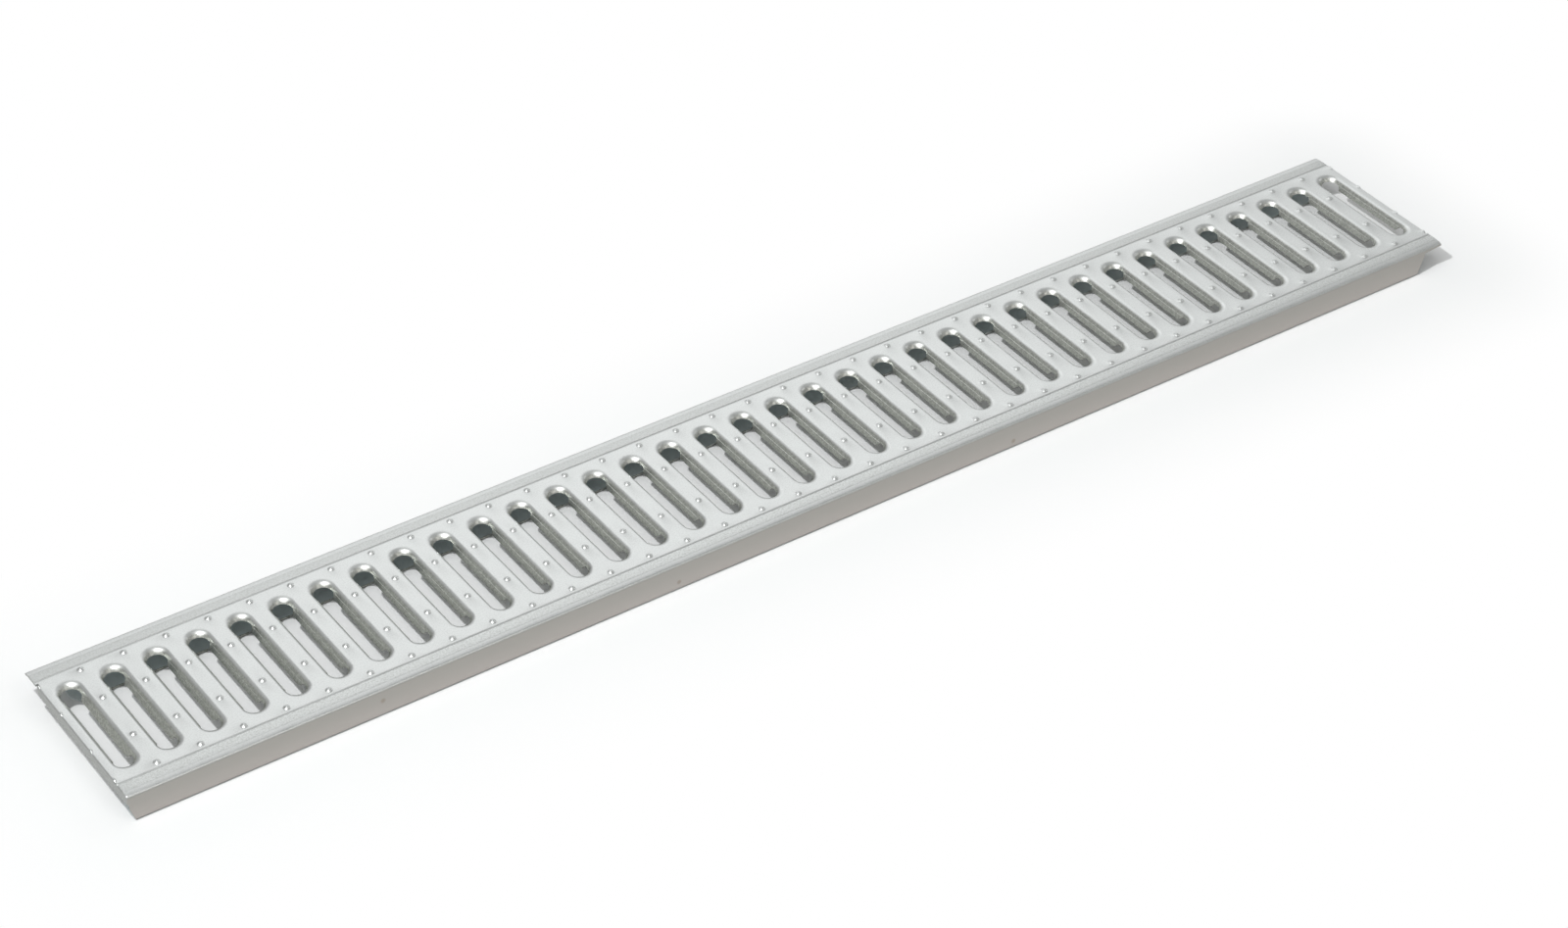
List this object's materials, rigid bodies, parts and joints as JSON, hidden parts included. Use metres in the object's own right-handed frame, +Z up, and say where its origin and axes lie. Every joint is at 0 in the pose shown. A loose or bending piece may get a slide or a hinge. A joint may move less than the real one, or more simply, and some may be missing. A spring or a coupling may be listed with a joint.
{
  "type": "channel drain grate",
  "caption": "Long galvanised steel drain grate folded from one sheet, with drawn cross slots, rows of anti-slip bumps, turned-down end lips and inward feet along both sides.",
  "frame": {"origin": "middle of the footprint, on the surface that the feet stand on", "axes": "+X along the grate, +Y across it, +Z up and out of the walked-on top"},
  "size_m": [1, 0.13, 0.0212],
  "materials": {
    "galvanised_sheet": "satin galvanised, fine spangle"
  },
  "bodies": {
    "root": {"grate": "galvanised_sheet"}
  },
  "joints": []
}
